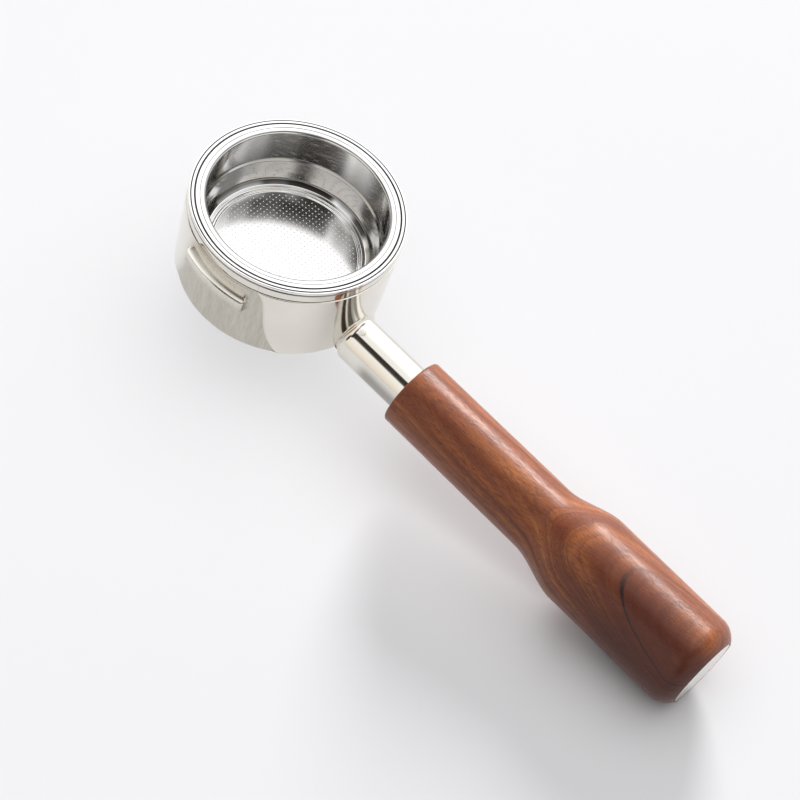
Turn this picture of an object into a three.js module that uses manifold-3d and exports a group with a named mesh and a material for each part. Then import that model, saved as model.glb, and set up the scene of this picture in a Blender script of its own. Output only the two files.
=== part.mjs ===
// Bottomless portafilter for an espresso machine: a polished steel cup with two bayonet ears and a
// cast neck, a lift-out filter basket, and a turned wooden grip drawn onto the neck by a stud and nut.
// Millimetres, +Z up. The cup's axis is vertical and the handle runs along +X, falling gently.
// Heights are given from the top of the basket flange, stations from the cup axis along the handle.

import * as THREE from 'three';
import * as BufferGeometryUtils from 'three/addons/utils/BufferGeometryUtils.js';
import Module from 'manifold-3d';

const wasm = await Module();
wasm.setup();

// ---- driving dimensions -------------------------------------------------------------------
const clearance = 0.3;          // gap left between pieces that only touch

const flangeRadius = 35.0;      // filter basket
const flangeThickness = 1.2;
const basketInnerRadius = 29.3;
const basketSheet = 0.6;
const basketStepHeight = -13.0; // pressed step round the basket wall
const basketStepIn = 0.7;
const floorHeight = -23.2;      // inside face of the basket floor
const floorBeadRadius = 25.4;   // raised ring round the flat floor

const rimHeight = -(flangeThickness + clearance);  // cup body
const cupBottom = -34.3;
const footRounding = 2.4;
const boreRadius = basketInnerRadius + basketSheet + 0.5;
const collarRadius = 34.8;
const ledgeHeight = -4.7;       // end of the turned collar
const wallTopRadius = 35.1;
const wallBottomRadius = 34.0;
const springHeight = -17.0;     // groove that holds the basket spring
const springWire = 1.2;

const earRadius = 38.4;         // bayonet ears
const earTop = -8.7;
const earThickness = 5.0;
const earHalfAngle = 20 * Math.PI / 180;
const earRamp = -0.0885;        // rise of the ear per millimetre along it
const padDepth = 0.45;          // shallow milled pad round each ear

const handleSlope = 5.4 * Math.PI / 180;
const handleRoot = -31.15;      // height at which the handle axis meets the cup axis
const neckRadius = 8.05;
const neckEnd = 71.0;
const tappedHoleStart = 41.0;

const gripStart = 59.0;         // wooden grip
const gripEnd = 187.4;
const gripFrontRadius = 12.0;
const gripWaistRadius = 12.25;
const gripSwellRadius = 16.5;
const swellStart = 117.5;
const swellEnd = 137.0;
const gripEndRounding = 8.0;

const studRadius = 4.0;         // handle stud and the parts that clamp the grip
const studStart = 43.0;
const studEnd = 174.5;
const nutSeat = 161.7;          // bottom of the counterbore in the grip
const counterboreRadius = 9.2;
const capRadius = 12.3;
const capThickness = 2.4;
const capBossLength = 8.0;

const fineSegments = 72;
const mediumSegments = 48;
const coarseSegments = 36;

// ---- small helpers ------------------------------------------------------------------------
function toManifold(geometry) {
  const bare = geometry.clone();
  bare.deleteAttribute('normal');
  bare.deleteAttribute('uv');
  const welded = BufferGeometryUtils.mergeVertices(bare, 1e-4);
  const mesh = new wasm.Mesh({
    numProp: 3,
    vertProperties: new Float32Array(welded.attributes.position.array),
    triVerts: new Uint32Array(welded.index.array),
  });
  return new wasm.Manifold(mesh);
}

function toGeometry(solid) {
  const mesh = solid.getMesh();
  const geometry = new THREE.BufferGeometry();
  geometry.setAttribute('position', new THREE.BufferAttribute(new Float32Array(mesh.vertProperties), 3));
  geometry.setIndex(new THREE.BufferAttribute(new Uint32Array(mesh.triVerts), 1));
  geometry.computeVertexNormals();
  return geometry;
}

// Solid of revolution about +Z from [radius, height] pairs running up the outside.
function turned(pairs, segments) {
  const points = pairs.map(([radius, height]) => new THREE.Vector2(radius, height));
  return new THREE.LatheGeometry(points, segments).rotateX(Math.PI / 2);
}

// Points on an arc in the [radius, height] plane; angles in degrees, both ends included.
function arcPairs(centreRadius, centreHeight, arcRadius, fromDegrees, toDegrees, steps) {
  const pairs = [];
  for (let step = 0; step <= steps; step += 1) {
    const angle = (fromDegrees + (toDegrees - fromDegrees) * step / steps) * Math.PI / 180;
    pairs.push([centreRadius + arcRadius * Math.cos(angle), centreHeight + arcRadius * Math.sin(angle)]);
  }
  return pairs;
}

// Closed ring with a round section, such as an O-ring.
function roundRing(ringRadius, wireRadius, height, segments) {
  const section = arcPairs(ringRadius, height, wireRadius, 0, 360, 8);
  section[section.length - 1] = section[0];
  return turned(section, segments);
}

// Plate with a centre hole, standing on the given height.
function plainRing(innerRadius, outerRadius, height, thickness, segments) {
  return turned([
    [innerRadius, height],
    [outerRadius, height],
    [outerRadius, height + thickness],
    [innerRadius, height + thickness],
    [innerRadius, height],
  ], segments);
}

// Carries a shape built along +Z, with its height as the station, onto the sloping handle axis.
function onHandle(geometry) {
  return geometry
    .rotateY(Math.PI / 2 + handleSlope)
    .translate(0, 0, handleRoot);
}

function handlePoint(station) {
  return new THREE.Vector3(
    station * Math.cos(handleSlope),
    0,
    handleRoot - station * Math.sin(handleSlope),
  );
}

// ---- cup body: ring, ears, neck -----------------------------------------------------------
function cupRing() {
  const groove = springWire / 2 + 0.35;
  return turned([
    [boreRadius + 0.4, cupBottom],
    ...arcPairs(wallBottomRadius - footRounding, cupBottom + footRounding, footRounding, -90, 0, 4),
    [wallTopRadius, ledgeHeight - 0.45],
    [wallTopRadius - 0.25, ledgeHeight - 0.2],
    [collarRadius - 0.3, ledgeHeight - 0.1],
    [collarRadius - 0.3, ledgeHeight + 0.15],
    [collarRadius, ledgeHeight + 0.3],
    [collarRadius, rimHeight - 0.3],
    [collarRadius - 0.3, rimHeight],
    [boreRadius + 0.9, rimHeight],
    [boreRadius, rimHeight - 0.9],
    [boreRadius, springHeight + groove],
    [boreRadius + springWire, springHeight + groove],
    [boreRadius + springWire, springHeight - groove],
    [boreRadius, springHeight - groove],
    [boreRadius, cupBottom + 0.4],
    [boreRadius + 0.4, cupBottom],
  ], fineSegments);
}

// One ear: a ring section cut to its width by a wedge, then sheared so that it ramps.
function earSolid() {
  const inside = wallBottomRadius - 2;
  const under = earTop - earThickness;
  const coveRadius = earRadius - 1.4 - collarRadius;
  const cove = arcPairs(collarRadius + coveRadius, earTop + coveRadius, coveRadius, 270, 180, 5);
  const section = toManifold(turned([
    [inside, under],
    [earRadius - 0.7, under],
    [earRadius, under + 0.7],
    [earRadius, earTop - 0.8],
    [earRadius - 0.25, earTop - 0.25],
    [earRadius - 0.8, earTop],
    ...cove,
    [inside, earTop + coveRadius],
    [inside, under],
  ], fineSegments));

  const reach = earRadius + 6;
  const wedge = new THREE.Shape();
  wedge.moveTo(0, 0);
  wedge.lineTo(reach * Math.sin(-earHalfAngle), -reach * Math.cos(earHalfAngle));
  wedge.lineTo(0, -reach * 1.1);
  wedge.lineTo(reach * Math.sin(earHalfAngle), -reach * Math.cos(earHalfAngle));
  wedge.closePath();
  const wedgeBlock = new THREE.ExtrudeGeometry(wedge, { depth: -cupBottom, bevelEnabled: false });
  wedgeBlock.translate(0, 0, cupBottom);

  const ear = toGeometry(section.intersect(toManifold(wedgeBlock)));
  const ramp = new THREE.Matrix4().makeShear(0, earRamp, 0, 0, 0, 0);
  return ear.applyMatrix4(ramp);
}

// Half width of the milled pad at a height below the flange; it flares towards the cup's foot.
function padHalfWidth(height) {
  const down = (ledgeHeight - height) / (ledgeHeight - cupBottom);
  return 15.2 + 1.6 * down + 6.0 * Math.pow(down, 5);
}

// Shell that is milled away round one ear, seen along Y as a flared outline.
function padCutter() {
  const outline = new THREE.Shape();
  const steps = 8;
  const top = ledgeHeight - 0.8;
  outline.moveTo(-padHalfWidth(top) + 2.4, top);
  outline.lineTo(padHalfWidth(top) - 2.4, top);
  for (let step = 1; step <= steps; step += 1) {
    const height = top + (cupBottom - 1 - top) * step / steps;
    outline.lineTo(padHalfWidth(height), height);
  }
  for (let step = steps; step >= 1; step -= 1) {
    const height = top + (cupBottom - 1 - top) * step / steps;
    outline.lineTo(-padHalfWidth(height), height);
  }
  outline.closePath();
  const block = new THREE.ExtrudeGeometry(outline, { depth: earRadius, bevelEnabled: false });
  block.rotateX(Math.PI / 2);
  const shell = turned([
    [wallBottomRadius - padDepth, cupBottom - 0.5],
    [earRadius + 2, cupBottom - 0.5],
    [earRadius + 2, ledgeHeight],
    [wallTopRadius - padDepth, ledgeHeight],
    [wallBottomRadius - padDepth, cupBottom - 0.5],
  ], fineSegments);
  return toManifold(block).intersect(toManifold(shell));
}

// The neck runs straight to the wall; its root below the cup's foot ends in a rounded nose.
function neckSolid() {
  const noseStart = 38.5;
  const noseLength = 9.5;
  const grooveStation = 64.0;
  const grooveDepth = 1.15;
  const nose = [];
  const noseSteps = 6;
  for (let step = 0; step <= noseSteps; step += 1) {
    const angle = Math.PI / 2 * step / noseSteps;
    nose.push([neckRadius * Math.sin(angle), noseStart - noseLength * Math.cos(angle)]);
  }
  nose[0][0] = 0;
  return toManifold(onHandle(turned([
    ...nose,
    [neckRadius, grooveStation],
    [neckRadius - grooveDepth, grooveStation],
    [neckRadius - grooveDepth, grooveStation + 1.9],
    [neckRadius, grooveStation + 1.9],
    [neckRadius, neckEnd - 0.8],
    [neckRadius - 0.8, neckEnd],
    [studRadius + clearance, neckEnd],
    [studRadius + clearance, tappedHoleStart],
    [0, tappedHoleStart - 2.2],
  ], mediumSegments)));
}

// Fillet where the neck leaves the wall, cut off level with the cup's foot.
function neckFillet() {
  const filletRadius = 4.0;
  const filletEnd = 39.0;
  const flare = arcPairs(neckRadius + filletRadius, filletEnd, filletRadius, 235, 180, 4);
  const widest = flare[0][0];
  const turnedFillet = toManifold(onHandle(turned([
    [0, wallBottomRadius - 2],
    [widest, wallBottomRadius - 2],
    ...flare,
    [neckRadius - 0.5, filletEnd + 0.5],
    [0, filletEnd + 0.5],
  ], mediumSegments)));
  const above = new THREE.BoxGeometry(40, 60, -cupBottom);
  above.translate(wallBottomRadius + 5, 0, cupBottom / 2);
  return turnedFillet.intersect(toManifold(above));
}

function cupBody() {
  const front = padCutter();
  const back = toManifold(toGeometry(front).rotateZ(Math.PI));
  const ear = earSolid();
  const otherEar = ear.clone().rotateZ(Math.PI);
  const bore = toManifold(new THREE.CylinderGeometry(boreRadius, boreRadius, 60, fineSegments)
    .rotateX(Math.PI / 2)
    .translate(0, 0, cupBottom));
  const neck = neckSolid().add(neckFillet()).subtract(bore);
  return toManifold(cupRing())
    .subtract(front)
    .subtract(back)
    .add(toManifold(ear))
    .add(toManifold(otherEar))
    .add(neck);
}

// ---- filter basket ------------------------------------------------------------------------
function filterBasket() {
  const lip = 1.8;
  const outerRadius = basketInnerRadius + basketSheet;
  const lowerRadius = basketInnerRadius - basketStepIn;
  const floorUnder = floorHeight - basketSheet;
  return turned([
    [0, floorUnder],
    [floorBeadRadius - 0.6, floorUnder],
    [floorBeadRadius + 0.4, floorUnder + 0.4],
    [lowerRadius - 0.6, floorUnder + 1.6],
    [lowerRadius - 0.1, floorUnder + 3.6],
    [lowerRadius + basketSheet, basketStepHeight - 0.8],
    [outerRadius, basketStepHeight + 0.2],
    [outerRadius, -lip],
    [outerRadius + lip - basketSheet, -flangeThickness],
    [flangeRadius - 0.4, -flangeThickness],
    [flangeRadius, -flangeThickness + 0.35],
    [flangeRadius, -0.5],
    [flangeRadius - 0.5, 0],
    [flangeRadius - 2.1, 0],
    [flangeRadius - 2.25, -0.2],
    [flangeRadius - 2.4, 0],
    ...arcPairs(basketInnerRadius + lip, -lip, lip, 90, 180, 4),
    [basketInnerRadius, basketStepHeight + 0.5],
    [lowerRadius, basketStepHeight - 0.5],
    [lowerRadius - 0.8, floorHeight + 3.4],
    [lowerRadius - 1.5, floorHeight + 1.5],
    [floorBeadRadius + 0.6, floorHeight + 0.9],
    [floorBeadRadius - 0.5, floorHeight + 0.9],
    [floorBeadRadius - 1.0, floorHeight + 0.45],
    [floorBeadRadius - 1.7, floorHeight + 0.45],
    [floorBeadRadius - 2.1, floorHeight],
    [0, floorHeight],
  ], fineSegments);
}

// ---- basket spring: an open ring of round wire --------------------------------------------
class ArcCurve extends THREE.Curve {
  constructor(radius, height, from, to) {
    super();
    this.radius = radius;
    this.height = height;
    this.from = from;
    this.to = to;
  }

  getPoint(fraction, target = new THREE.Vector3()) {
    const angle = this.from + (this.to - this.from) * fraction;
    return target.set(this.radius * Math.cos(angle), this.radius * Math.sin(angle), this.height);
  }
}

function basketSpring() {
  const openHalf = 7 * Math.PI / 180;
  const ringRadius = boreRadius + springWire / 2 - 0.05;
  const path = new ArcCurve(ringRadius, springHeight, openHalf, 2 * Math.PI - openHalf);
  const section = new THREE.Shape();
  section.absarc(0, 0, springWire / 2, 0, 2 * Math.PI);
  return new THREE.ExtrudeGeometry(section, { steps: 60, curveSegments: 8, extrudePath: path });
}

// ---- wooden grip --------------------------------------------------------------------------
// Smooth step from 0 to 1 that leaves and arrives level.
function easeBetween(fraction) {
  return fraction * fraction * (3 - 2 * fraction);
}

function gripRadiusAt(station) {
  if (station <= swellStart) {
    const along = (station - gripStart) / (swellStart - gripStart);
    return gripFrontRadius + (gripWaistRadius - gripFrontRadius) * along;
  }
  if (station >= swellEnd) {
    return gripSwellRadius;
  }
  const along = (station - swellStart) / (swellEnd - swellStart);
  return gripWaistRadius + (gripSwellRadius - gripWaistRadius) * easeBetween(along);
}

function woodenGrip() {
  const edge = 0.8;
  const outline = [];
  outline.push([gripFrontRadius - edge, gripStart]);
  outline.push([gripFrontRadius - 0.25, gripStart + 0.25]);
  outline.push([gripFrontRadius, gripStart + edge]);
  const swellSteps = 10;
  for (let step = 0; step <= swellSteps; step += 1) {
    const station = swellStart + (swellEnd - swellStart) * step / swellSteps;
    outline.push([gripRadiusAt(station), station]);
  }
  const roundingStart = gripEnd - Math.sqrt(
    gripEndRounding ** 2 - (gripEndRounding - (gripSwellRadius - capRadius - clearance)) ** 2,
  );
  const roundingSteps = 5;
  for (let step = 0; step <= roundingSteps; step += 1) {
    const station = roundingStart + (gripEnd - roundingStart) * step / roundingSteps;
    const drop = gripEndRounding - Math.sqrt(gripEndRounding ** 2 - (station - roundingStart) ** 2);
    outline.push([gripSwellRadius - drop, station]);
  }
  const pocket = capRadius + clearance;
  const pocketFloor = gripEnd - capThickness - clearance;
  const neckPocket = neckRadius + clearance;
  const throughHole = studRadius + 0.4;
  outline[outline.length - 1] = [pocket + 0.001, gripEnd];
  return turned([
    ...outline,
    [pocket, gripEnd - 0.4],
    [pocket, pocketFloor],
    [counterboreRadius, pocketFloor],
    [counterboreRadius, nutSeat],
    [throughHole, nutSeat],
    [throughHole, neckEnd + 1.5],
    [neckPocket, neckEnd + 1.5],
    [neckPocket, gripStart],
    [gripFrontRadius - edge, gripStart],
  ], mediumSegments);
}

// ---- clamping parts inside the grip -------------------------------------------------------
function handleStud() {
  const chamfer = 0.8;
  return turned([
    [0, studStart],
    [studRadius - chamfer, studStart],
    [studRadius, studStart + chamfer],
    [studRadius, studEnd - chamfer],
    [studRadius - chamfer, studEnd],
    [0, studEnd],
  ], coarseSegments);
}

const washerThickness = 1.6;
const washerSeat = nutSeat + clearance;
const springWasherSeat = washerSeat + washerThickness + clearance;
const springWasherThickness = 2.0;
const nutStart = springWasherSeat + springWasherThickness + clearance;
const nutHeight = 6.5;
const nutFlats = 13.0;

function splitWasher() {
  const ring = plainRing(studRadius + 0.4, 7.0, springWasherSeat, springWasherThickness, coarseSegments);
  const slot = new THREE.BoxGeometry(8, 1.2, 12)
    .rotateX(0.45)
    .translate(6, 0, springWasherSeat + springWasherThickness / 2);
  return toManifold(ring).subtract(toManifold(slot));
}

function hexNut() {
  const corner = nutFlats / 2 / Math.cos(Math.PI / 6);
  const hexagon = new THREE.CylinderGeometry(corner, corner, nutHeight, 6).rotateX(Math.PI / 2);
  hexagon.translate(0, 0, nutStart + nutHeight / 2);
  const bevel = turned([
    [0, nutStart],
    [nutFlats / 2, nutStart],
    [corner, nutStart + 0.6],
    [corner, nutStart + nutHeight - 0.6],
    [nutFlats / 2, nutStart + nutHeight],
    [0, nutStart + nutHeight],
  ], coarseSegments);
  const hole = plainRing(0, studRadius + clearance, nutStart - 1, nutHeight + 2, coarseSegments);
  return toManifold(hexagon).intersect(toManifold(bevel)).subtract(toManifold(hole));
}

const bossRadius = counterboreRadius - 0.6;
const capRingStation = gripEnd - capThickness - capBossLength * 0.5;

function endCap() {
  const faceStart = gripEnd - capThickness;
  const bossStart = faceStart - capBossLength;
  const grooveHalf = 1.0;
  const grooveRadius = bossRadius - 1.2;
  return turned([
    [0, bossStart],
    [bossRadius - 0.6, bossStart],
    [bossRadius, bossStart + 0.6],
    [bossRadius, capRingStation - grooveHalf],
    [grooveRadius, capRingStation - grooveHalf],
    [grooveRadius, capRingStation + grooveHalf],
    [bossRadius, capRingStation + grooveHalf],
    [bossRadius, faceStart],
    [capRadius, faceStart],
    [capRadius, gripEnd - 0.45],
    [capRadius - 0.35, gripEnd - 0.1],
    [capRadius - 1.2, gripEnd],
    [0, gripEnd],
  ], mediumSegments);
}

// ---- assembly -----------------------------------------------------------------------------
const finishes = {
  polishedSteel: { color: 0xc9c6c0, roughness: 0.12, metalness: 1.0 },
  basketSteel: { color: 0xd4d3d0, roughness: 0.2, metalness: 1.0 },
  springSteel: { color: 0x9a9a98, roughness: 0.3, metalness: 1.0 },
  zincSteel: { color: 0xa8abae, roughness: 0.4, metalness: 1.0 },
  rosewood: { color: 0x8a4526, roughness: 0.45, metalness: 0.0 },
  rubber: { color: 0x1a1a1a, roughness: 0.8, metalness: 0.0 },
};

const portafilter = new THREE.Group();
portafilter.name = 'portafilter';

function addPiece(name, geometry, finish) {
  const piece = new THREE.Mesh(geometry, new THREE.MeshStandardMaterial(finishes[finish]));
  piece.name = name;
  portafilter.add(piece);
}

addPiece('cup_body', toGeometry(cupBody()), 'polishedSteel');
addPiece('filter_basket', filterBasket(), 'basketSteel');
addPiece('basket_spring', basketSpring(), 'springSteel');
addPiece('wooden_grip', onHandle(woodenGrip()), 'rosewood');
addPiece('handle_stud', onHandle(handleStud()), 'zincSteel');
addPiece('neck_o_ring', onHandle(roundRing(neckRadius - 0.5, 0.6, 64.95, coarseSegments)), 'rubber');
addPiece('flat_washer', onHandle(
  plainRing(studRadius + 0.4, 8.6, washerSeat, washerThickness, coarseSegments),
), 'zincSteel');
addPiece('spring_washer', onHandle(toGeometry(splitWasher())), 'zincSteel');
addPiece('hex_nut', onHandle(toGeometry(hexNut())), 'zincSteel');
addPiece('end_cap', onHandle(endCap()), 'polishedSteel');
addPiece('cap_o_ring', onHandle(roundRing(bossRadius - 0.3, 0.75, capRingStation, coarseSegments)), 'rubber');

// The finished assembly stands with the middle of its bounding box's underside at the origin.
const bounds = new THREE.Box3().setFromObject(portafilter);
const middle = bounds.getCenter(new THREE.Vector3());
for (const piece of portafilter.children) {
  piece.geometry.translate(-middle.x, -middle.y, -bounds.min.z);
}

export default portafilter;
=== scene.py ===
import math

import bpy
import numpy as np
from mathutils import Euler, Matrix, Vector, geometry


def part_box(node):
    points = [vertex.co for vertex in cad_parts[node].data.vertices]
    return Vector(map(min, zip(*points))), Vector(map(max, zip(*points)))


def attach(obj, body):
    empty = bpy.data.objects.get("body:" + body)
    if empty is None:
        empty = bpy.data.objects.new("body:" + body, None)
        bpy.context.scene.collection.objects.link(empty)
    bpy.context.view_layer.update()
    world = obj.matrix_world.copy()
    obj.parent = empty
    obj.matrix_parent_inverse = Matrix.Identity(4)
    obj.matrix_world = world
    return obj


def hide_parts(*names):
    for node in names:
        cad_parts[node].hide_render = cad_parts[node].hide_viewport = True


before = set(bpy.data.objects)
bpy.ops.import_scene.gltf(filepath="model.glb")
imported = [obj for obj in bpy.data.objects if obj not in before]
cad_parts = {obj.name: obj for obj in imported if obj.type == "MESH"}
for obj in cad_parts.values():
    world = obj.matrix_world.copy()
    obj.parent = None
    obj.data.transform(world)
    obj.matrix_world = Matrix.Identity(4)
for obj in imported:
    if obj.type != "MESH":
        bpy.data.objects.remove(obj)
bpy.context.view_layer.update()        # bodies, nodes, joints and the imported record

# Bottomless portafilter. Shapes are worked out in millimetres from the middle of the basket's
# rim, Z up, handle towards +X, and moved into the frame when they become meshes.

basketLow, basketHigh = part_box("filter_basket")
rimCentre = np.array([(basketLow.x + basketHigh.x) / 2, (basketLow.y + basketHigh.y) / 2, basketHigh.z])
mm = 0.001
spotsPerMetre = 1e7      # corners that round to one spot of this grid become one corner

# The handle's axis: it leaves the cup's axis at this height and falls towards its end.
handle = dict(slope=math.radians(5.4), root=-31.15)
alongHandle = np.array([math.cos(handle["slope"]), 0.0, -math.sin(handle["slope"])])
aboveHandle = np.array([math.sin(handle["slope"]), 0.0, math.cos(handle["slope"])])


# Surfaces.

# Cubic ease: 3t^2 - 2t^3 between the two limits, level outside them.
def ease(value, low, high):
    t = np.clip((value - low) / (high - low), 0.0, 1.0)
    return t * t * (3 - 2 * t)


# Polyline through the corners (a, b, radius), each corner replaced by a tangent arc of its radius.
def filleted(corners, steps=5, closed=True):
    spots = [np.array(c[:2], float) for c in corners]
    radii = [c[2] if len(c) > 2 else 0.0 for c in corners]
    count = len(spots)
    line = []
    for i in range(count):
        here, radius = spots[i], radii[i]
        if radius <= 0 or (not closed and i in (0, count - 1)):
            line.append(here)
            continue
        back, ahead = spots[i - 1] - here, spots[(i + 1) % count] - here
        backLong, aheadLong = np.linalg.norm(back), np.linalg.norm(ahead)
        back, ahead = back / backLong, ahead / aheadLong
        turn = math.acos(float(np.clip(back @ ahead, -1, 1)))
        if turn > math.pi - 0.02:
            line.append(here)
            continue
        reach = min(radius / math.tan(turn / 2), 0.48 * backLong, 0.48 * aheadLong)
        radius = reach * math.tan(turn / 2)
        middle = here + (back + ahead) / np.linalg.norm(back + ahead) * radius / math.sin(turn / 2)
        start, stop = here + back * reach - middle, here + ahead * reach - middle
        sweep = math.pi - turn
        for k in range(steps + 1):
            t = k / steps
            spoke = start * math.sin((1 - t) * sweep) + stop * math.sin(t * sweep)
            line.append(middle + spoke / math.sin(sweep))
    return np.array(line)


# Quads between neighbouring rows and columns of a grid, which may wrap round either way.
def gridFaces(rows, columns, wrapRows, wrapColumns):
    r = np.arange(rows if wrapRows else rows - 1)
    c = np.arange(columns if wrapColumns else columns - 1)
    rr, cc = np.meshgrid(r, c, indexing="ij")
    nr, nc = (rr + 1) % rows, (cc + 1) % columns
    faces = np.stack([rr * columns + cc, rr * columns + nc, nr * columns + nc, nr * columns + cc], -1)
    return faces.reshape(-1, 4)


# Normals weighted by area: half the cross product of each quad's diagonals, summed where corners
# of one smoothing group meet. Gives one normal for each corner of each face.
def areaNormals(points, faces, groups):
    corner = points[faces]
    facing = np.cross(corner[:, 2] - corner[:, 0], corner[:, 3] - corner[:, 1])
    key = faces + groups[:, None].astype(np.int64) * len(points)
    _, same = np.unique(key.ravel(), return_inverse=True)
    same = same.reshape(key.shape)
    total = np.zeros((same.max() + 1, 3))
    for k in range(4):
        for axis in range(3):
            total[:, axis] += np.bincount(same[:, k], facing[:, axis], len(total))
    total = total / np.maximum(np.linalg.norm(total, axis=1, keepdims=True), 1e-12)
    return total[same]


# Turns points and quads (a triangle repeats its last corner) into an object that rides on a body.
def addPiece(name, points, faces, body, replaced, finish, marks=None, groups=None):
    where = points * mm + rimCentre
    keys = np.round(where * spotsPerMetre).astype(np.int64)
    _, first, same = np.unique(keys, axis=0, return_index=True, return_inverse=True)
    where, faces = where[first], same.reshape(-1)[faces]
    marks = {k: v[first] for k, v in (marks or {}).items()}
    groups = np.zeros(len(faces), int) if groups is None else groups
    a, b, c, d = faces.T
    solid = (a != b) & (b != c) & (a != c) | (a != c) & (c != d) & (a != d)
    faces, groups = faces[solid], groups[solid]
    bends = areaNormals(where, faces, groups)
    kept = faces != np.roll(faces, 1, 1)      # a repeated corner is left out
    corners, sizes = faces[kept], kept.sum(1)
    mesh = bpy.data.meshes.new(name)
    mesh.vertices.add(len(where))
    mesh.vertices.foreach_set("co", where.astype(np.float32).ravel())
    mesh.loops.add(len(corners))
    mesh.loops.foreach_set("vertex_index", corners.astype(np.int32))
    mesh.polygons.add(len(sizes))
    mesh.polygons.foreach_set("loop_start", (np.cumsum(sizes) - sizes).astype(np.int32))
    mesh.update(calc_edges=True)
    mesh.polygons.foreach_set("use_smooth", np.ones(len(sizes), bool))
    for key, values in marks.items():
        mesh.attributes.new(key, "FLOAT", "POINT").data.foreach_set("value", values.astype(np.float32))
    mesh.normals_split_custom_set(bends[kept].tolist())
    piece = bpy.data.objects.new(name, mesh)
    bpy.context.scene.collection.objects.link(piece)
    mesh.materials.append(finish)
    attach(piece, body)
    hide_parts(replaced)
    print(f"made {name}: {len(sizes)} faces")


# Spots round the handle's axis: its point at the station + radius * (cos angle * above - sin angle * Y).
def aroundHandle(radius, station, angle):
    middle = np.array([0.0, 0.0, handle["root"]])
    out = middle + station[..., None] * alongHandle
    out = out + (radius * np.cos(angle))[..., None] * aboveHandle
    return out - (radius * np.sin(angle))[..., None] * np.array([0.0, 1.0, 0.0])


# A profile of (radius, height) pairs turned about the cup's axis, or about the handle's axis.
def turned(profile, columns, onHandle=False, closed=True):
    angle = np.arange(columns) * 2 * math.pi / columns
    radius = np.repeat(profile[:, :1], columns, 1)
    height = np.repeat(profile[:, 1:2], columns, 1)
    spread = np.repeat(angle[None], len(profile), 0)
    if onHandle:
        points = aroundHandle(radius, height, spread)
    else:
        points = np.stack([radius * np.cos(spread), radius * np.sin(spread), height], -1)
    return points.reshape(-1, 3), gridFaces(len(profile), columns, closed, True)


# Finishes.

def shade(red, green, blue):      # 0-255 as seen on a screen, to linear
    levels = (((v / 255 + 0.055) / 1.055) ** 2.4 if v > 10 else v / 3295 for v in (red, green, blue))
    return (*levels, 1.0)


class Graph:     # a short way to add nodes to a finish and join them
    def __init__(self, tree):
        self.tree = tree
        tree.nodes.clear()

    def add(self, kind, inputs=None, **settings):
        made = self.tree.nodes.new("ShaderNode" + kind)
        for key, value in settings.items():
            setattr(made, key, value)
        for key, value in (inputs or {}).items():
            if isinstance(value, bpy.types.NodeSocket):
                self.tree.links.new(value, made.inputs[key])
            else:
                made.inputs[key].default_value = value
        return made

    def math(self, operation, first, second=0.0):
        return self.add("Math", {0: first, 1: second}, operation=operation).outputs[0]

    def ramp(self, factor, stops):
        made = self.add("ValToRGB", {"Fac": factor})
        while len(made.color_ramp.elements) < len(stops):
            made.color_ramp.elements.new(0.5)
        for spot, (position, colour) in zip(made.color_ramp.elements, stops):
            spot.position, spot.color = position, colour
        return made.outputs["Color"]

    def span(self, value, low, high, toLow=0.0, toHigh=1.0, smooth=True):
        kind = "SMOOTHSTEP" if smooth else "LINEAR"
        return self.add("MapRange", {"Value": value, "From Min": low, "From Max": high, "To Min": toLow,
                                     "To Max": toHigh}, interpolation_type=kind).outputs["Result"]

    def blend(self, factor, first, second):
        made = self.add("Mix", data_type="RGBA")
        for key, value in ((0, factor), (6, first), (7, second)):
            if isinstance(value, bpy.types.NodeSocket):
                self.tree.links.new(value, made.inputs[key])
            else:
                made.inputs[key].default_value = value
        return made.outputs[2]

    def noise(self, vector, scale, detail, rough=0.5):
        return self.add("TexNoise", {"Vector": vector, "Scale": scale, "Detail": detail,
                                     "Roughness": rough}).outputs[0]

    def place(self, turn=(0, 0, 0), scale=(1, 1, 1)):
        spot = self.add("TexCoord").outputs["Object"]
        return self.add("Mapping", {"Vector": spot, "Rotation": turn, "Scale": scale}).outputs[0]

    def mark(self, name):
        return self.add("Attribute", attribute_name=name, attribute_type="GEOMETRY").outputs["Fac"]


def newFinish(name):
    finish = bpy.data.materials.new(name)
    finish.use_nodes = True
    graph = Graph(finish.node_tree)
    shader = graph.add("BsdfPrincipled")
    graph.add("OutputMaterial", {"Surface": shader.outputs[0]})
    return finish, graph, shader


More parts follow.
